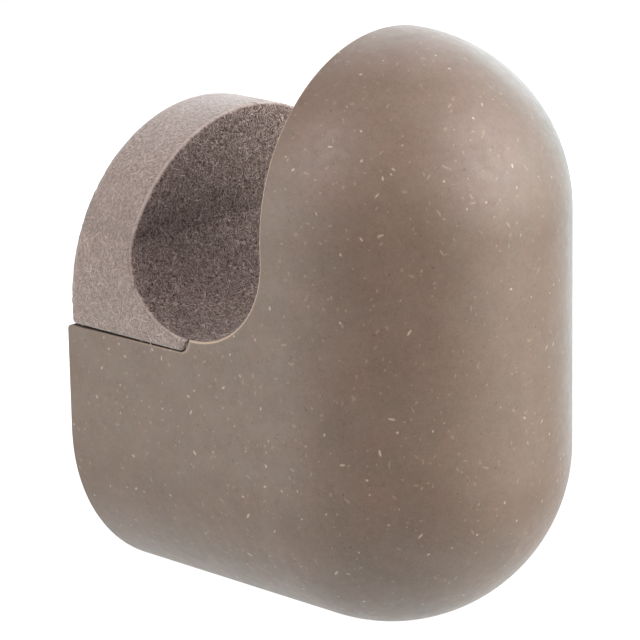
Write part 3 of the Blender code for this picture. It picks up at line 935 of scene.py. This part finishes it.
def threadTree():
    # a ridge wound round a shank, drawn in towards the point
    tree, given = startTree("screw thread", threadValues)
    radius = given["Core radius"]
    values = {"Resolution": 28, "Rotations": calc(tree, "DIVIDE", given["Length"], given["Pitch"]),
              "Start Radius": radius, "End Radius": radius, "Height": given["Length"]}
    helix = resultOf(tree, "GeometryNodeCurveSpiral", values)
    parts = partsOf(tree, resultOf(tree, "GeometryNodeInputPosition"))
    height = plus(tree, parts["Z"], given["Start"])
    taper = calc(tree, "DIVIDE", minus(tree, height, given["Tip"]), given["Tip length"])
    taper = resultOf(tree, "ShaderNodeClamp", {"Value": taper, "Min": 0.12, "Max": 1.0})
    place = vectorOf(tree, times(tree, parts["X"], taper), times(tree, parts["Y"], taper), height)
    path = resultOf(tree, "GeometryNodeSetPosition", {"Geometry": helix, "Position": place})
    path = resultOf(tree, "GeometryNodeSetCurveNormal", {"Curve": path}, mode="Z_UP")
    half = times(tree, given["Pitch"], 0.31)
    values = {"Width": times(tree, given["Thread depth"], 2.0), "Bottom Height": half, "Top Height": half}
    ridge = resultOf(tree, "GeometryNodeCurvePrimitiveQuadrilateral", values, mode="KITE")
    values = {"Curve": path, "Profile Curve": ridge, "Scale": taper, "Fill Caps": True}
    wound = resultOf(tree, "GeometryNodeCurveToMesh", values)
    joined = addNode(tree, "GeometryNodeJoinGeometry", {"Geometry": wound})
    tree.links.new(given["Geometry"], joined.inputs[0])
    endTree(tree, joined.outputs[0], given["Material"])
    return tree


threads = threadTree()
screwShape = {"crossLength": 4.2 * mm, "crossWidth": 0.9 * mm, "crossDepth": 1.6 * mm, "crossTurn": 12,
              "neck": 1.75 * mm, "neckStart": 3.6 * mm, "neckRise": 0.3 * mm, "steps": 64}


def makeWallScrew(name, height):
    top = notch["wall"] - baseShape["clearance"]
    edge = top - baseShape["headRim"]
    head = baseShape["headRadius"]
    core = threadValues["Core radius"]
    tip = threadValues["Tip"]
    shoulder = tip + threadValues["Tip length"]
    neck = screwShape["neck"]
    start = screwShape["neckStart"]
    profile = [(0.0, tip), (0.12 * core, tip + 0.3 * mm), (core, shoulder), (core, start)]
    profile += [(neck, start + screwShape["neckRise"]), (neck, edge - (head - neck))]
    profile += [(head - 0.1 * mm, edge - 0.1 * mm), (head, edge)]
    profile += [(head, top - 0.12 * mm), (head - 0.12 * mm, top), (0.0, top)]
    screw = addPiece(name, turnedForm(profile, screwShape["steps"]))
    bottom = top - screwShape["crossDepth"]
    mouthShare = 1.0 + 0.55 * past / screwShape["crossDepth"]
    steps = []
    for turn in (0, 90):
        rings = []
        for level, share in ((bottom, 0.45), (top + past, mouthShare)):
            x = screwShape["crossLength"] / 2 * share
            y = screwShape["crossWidth"] / 2 * (0.6 + 0.4 * min(share, 1.0))
            rings.append(atHeight(rectangle(x, y, -x, -y), level))
        spin = Matrix.Rotation(math.radians(turn + screwShape["crossTurn"]), 4, "Z")
        steps.append(("DIFFERENCE", loftForm(rings), spin))
    carve(screw, steps)
    runTree(screw, threads, {**threadValues, "Material": zincMaterial})
    screw.data.transform(outOfWall(height))
    shadeSmooth(screw, 32)
    return screw


lockShape = {"radius": 1.95 * mm, "length": 4.6 * mm, "core": 1.62 * mm, "pitch": 0.7 * mm,
             "chamfer": 0.4 * mm, "cup": 0.9 * mm, "socket": 2.0 * mm, "socketDepth": 2.2 * mm,
             "mouthShare": 1.12}


def makeLockScrew():
    top = coreBottom - inside["slide"]
    low = top - lockShape["length"]
    core = lockShape["core"]
    chamfer = lockShape["chamfer"]
    cup = lockShape["cup"]
    profile = [(0.0, low), (core - 0.1 * mm, low), (core, low + 0.1 * mm), (core, top - chamfer)]
    profile += [(core - chamfer, top - 0.02 * mm), (cup + 0.1 * mm, top)]
    profile += [(cup, top - 0.05 * mm), (0.0, top - chamfer)]
    screw = addPiece("lock_screw_body", turnedForm(profile, 48))
    corner = lockShape["socket"] / math.sqrt(3)
    hexagon = arcPoints((0.0, 0.0), corner, 0, 360, 6)[:-1]
    mouth = [(x * lockShape["mouthShare"], y * lockShape["mouthShare"]) for x, y in hexagon]
    rings = [atHeight(mouth, low - past), atHeight(mouth, low), atHeight(hexagon, low + 0.15 * mm),
             atHeight(hexagon, low + lockShape["socketDepth"])]
    carve(screw, [("DIFFERENCE", loftForm(rings))])
    values = {"Core radius": core, "Thread depth": lockShape["radius"] - core, "Pitch": lockShape["pitch"],
              "Start": low + 0.35 * mm, "Length": lockShape["length"] - chamfer - 0.65 * mm,
              "Tip": low - 10 * mm, "Tip length": mm, "Material": blackMaterial}
    runTree(screw, threads, values)
    screw.data.transform(lockPlace)
    shadeSmooth(screw, 32)
    return screw


insertShape = {"outer": 2.8 * mm, "bore": 2.05 * mm, "knurl": 0.14 * mm, "teeth": 36, "recess": 0.3 * mm,
               "chamfer": 0.3 * mm, "groove": 0.16 * mm, "thread": 0.2 * mm}


def makeInsert():
    low = shellLow.z + insertShape["recess"]
    high = bossTop - insertShape["recess"]
    outer = insertShape["outer"]
    step = (high - low) / 12
    chamfer = insertShape["chamfer"]
    rows = [(outer - chamfer, 0.0, low), (outer - 0.1 * mm, 0.0, low + 0.2 * mm)]
    knurl = insertShape["knurl"]
    groove = outer - insertShape["groove"]
    for first, last in ((0.8, 5.2), (6.8, 11.2)):
        rows += [(groove, 0.0, low + first * step - 0.05 * mm), (outer, knurl, low + first * step)]
        rows += [(outer, knurl, low + last * step), (groove, 0.0, low + last * step + 0.05 * mm)]
    rows += [(outer - 0.1 * mm, 0.0, high - 0.2 * mm), (outer - chamfer, 0.0, high)]
    count = insertShape["teeth"] * 2
    rings = []
    for radius, depth, height in rows:
        ring = []
        for index in range(count):
            angle = 2 * math.pi * index / count
            reach = radius - depth * (index % 2)
            ring.append((reach * math.cos(angle), reach * math.sin(angle), height))
        rings.append(ring)
    insert = addPiece("lock_insert_body", loftForm(rings))
    bore = insertShape["bore"]
    mouth = bore + chamfer
    root = bore + insertShape["thread"]
    profile = [(0.0, low - past), (mouth, low - past), (mouth, low), (bore, low + chamfer)]
    turn = low + 0.5 * mm
    while turn < high - 1.0 * mm:
        profile += [(bore, turn), (root, turn + lockShape["pitch"] / 2)]
        turn += lockShape["pitch"]
    profile += [(bore, high - chamfer), (root, high), (root, high + past), (0.0, high + past)]
    carve(insert, [("DIFFERENCE", turnedForm(profile, 48))])
    insert.data.transform(lockPlace)
    shadeSmooth(insert, 32)
    return insert


upperScrewPiece = makeWallScrew("wall_screw_upper_body", upperScrew)
lowerScrewPiece = makeWallScrew("wall_screw_lower_body", lowerScrew)
lockScrewPiece = makeLockScrew()
insertPiece = makeInsert()
print("screws and insert made")

dress(shellPiece, "shell", "smooth_composite", shellMaterial, "hook_shell")
dress(basePiece, "base", "rough_composite", baseMaterial, "wall_base")
dress(fibrePiece, "base", "rough_composite", fibreMaterial, "wall_base")
dress(upperScrewPiece, "base", "zinc_steel", zincMaterial, "wall_screw_upper")
dress(lowerScrewPiece, "base", "zinc_steel", zincMaterial, "wall_screw_lower")
dress(insertPiece, "shell", "insert_brass", brassMaterial, "lock_insert")
dress(lockScrewPiece, "lock", "black_steel", blackMaterial, "lock_screw")


# Camera, at the photograph's angle

def directionOf(azimuth, elevation):
    # azimuth 0 is in front of the hook, 90 at its right
    turn = math.radians(azimuth)
    lift = math.radians(elevation)
    return Vector((math.sin(turn) * math.cos(lift), -math.cos(turn) * math.cos(lift), math.sin(lift)))


cameraView = {"azimuth": -46.71, "elevation": 16.46, "roll": -1.04, "lens": 207.6, "distance": 410.4 * mm,
              "target": (0.0, -22.0 * mm, 0.0), "right": -1.46 * mm, "up": -2.40 * mm}


def makeCamera():
    turn = math.radians(cameraView["azimuth"])
    roll = math.radians(cameraView["roll"])
    back = directionOf(cameraView["azimuth"], cameraView["elevation"])
    level = Vector((math.cos(turn), math.sin(turn), 0.0))
    upright = back.cross(level)
    right = level * math.cos(roll) + upright * math.sin(roll)
    up = upright * math.cos(roll) - level * math.sin(roll)
    place = Vector(cameraView["target"]) + right * cameraView["right"] + up * cameraView["up"]
    place += back * cameraView["distance"]
    data = bpy.data.cameras.new("camera")
    data.lens = cameraView["lens"]
    data.sensor_width = 36.0
    data.clip_start = 0.01
    data.clip_end = 20.0
    camera = putInScene("camera", data)
    camera.matrix_world = Matrix((
        (right.x, up.x, back.x, place.x),
        (right.y, up.y, back.y, place.y),
        (right.z, up.z, back.z, place.z),
        (0.0, 0.0, 0.0, 1.0)))
    bpy.context.scene.camera = camera


makeCamera()


# Floor and light

stageShape = {"height": -0.45, "size": 8.0, "tone": 0.82, "sky": 0.10}


def makeFloor():
    shape = bmesh.new()
    half = stageShape["size"] / 2
    corners = rectangle(-half, -half, half, half)
    shape.faces.new([shape.verts.new((x, y, stageShape["height"])) for x, y in corners])
    floor = addPiece("floor", shape)
    surface = {"Roughness": 0.9, "Specular IOR Level": 0.1}
    material, tree, shader, coords = startMaterial("pale_floor", surface)
    tone = stageShape["tone"]
    soft = noiseOf(tree, coords, 0.4, 2.0)
    wire(tree, shader, {"Base Color": mixColour(tree, soft, (tone - 0.01,) * 3, (tone,) * 3)})
    floor.data.materials.append(material)


# each lamp's azimuth, elevation, distance, size, power and colour
# the backdrop lamp has its own target and spread and lights only the floor far behind the hook
lamps = {
    "key": (30, 30, 0.6, 0.7, 7.5, (1.0, 0.96, 1.0)),
    "low": (30, 8, 0.6, 0.7, 3.8, (0.96, 1.0, 0.86)),
    "leftHigh": (-100, 45, 0.6, 0.4, 3.2, (1.0, 0.87, 0.86)),
    "leftLow": (-120, 2, 0.6, 0.7, 3.8, (0.90, 1.0, 0.98)),
    "rightRear": (120, 30, 0.6, 0.7, 2.8, (0.89, 0.98, 1.0)),
    "rightLow": (100, 2, 0.7, 0.6, 2.5, (0.60, 0.90, 1.0)),
    "rear": (133, 60, 0.8, 1.0, 1.3, (0.65, 0.88, 1.0)),
    "backdrop": (0, 90, 1.5, 0.9, 16.5, (1.0, 1.0, 1.0), (1.30, 1.23, stageShape["height"]), 110),
}


def makeLamp(name, azimuth, elevation, distance, size, power, colour,
             target=cameraView["target"], spread=180):
    back = directionOf(azimuth, elevation)
    data = bpy.data.lights.new(name, "AREA")
    data.shape = "DISK"
    data.size = size
    data.energy = power
    data.color = colour
    data.spread = math.radians(spread)
    item = putInScene(name, data)
    item.location = Vector(target) + back * distance
    item.rotation_euler = back.to_track_quat("Z", "Y").to_euler()


makeFloor()
for lampName, lampValues in lamps.items():
    makeLamp(lampName, *lampValues)

world = bpy.data.worlds.new("world")
bpy.context.scene.world = world
world.use_nodes = True
sky = world.node_tree.nodes["Background"].inputs
sky["Color"].default_value = (1.0, 1.0, 1.0, 1.0)
sky["Strength"].default_value = stageShape["sky"]
bpy.context.scene.view_settings.view_transform = "Standard"
print("stage made")
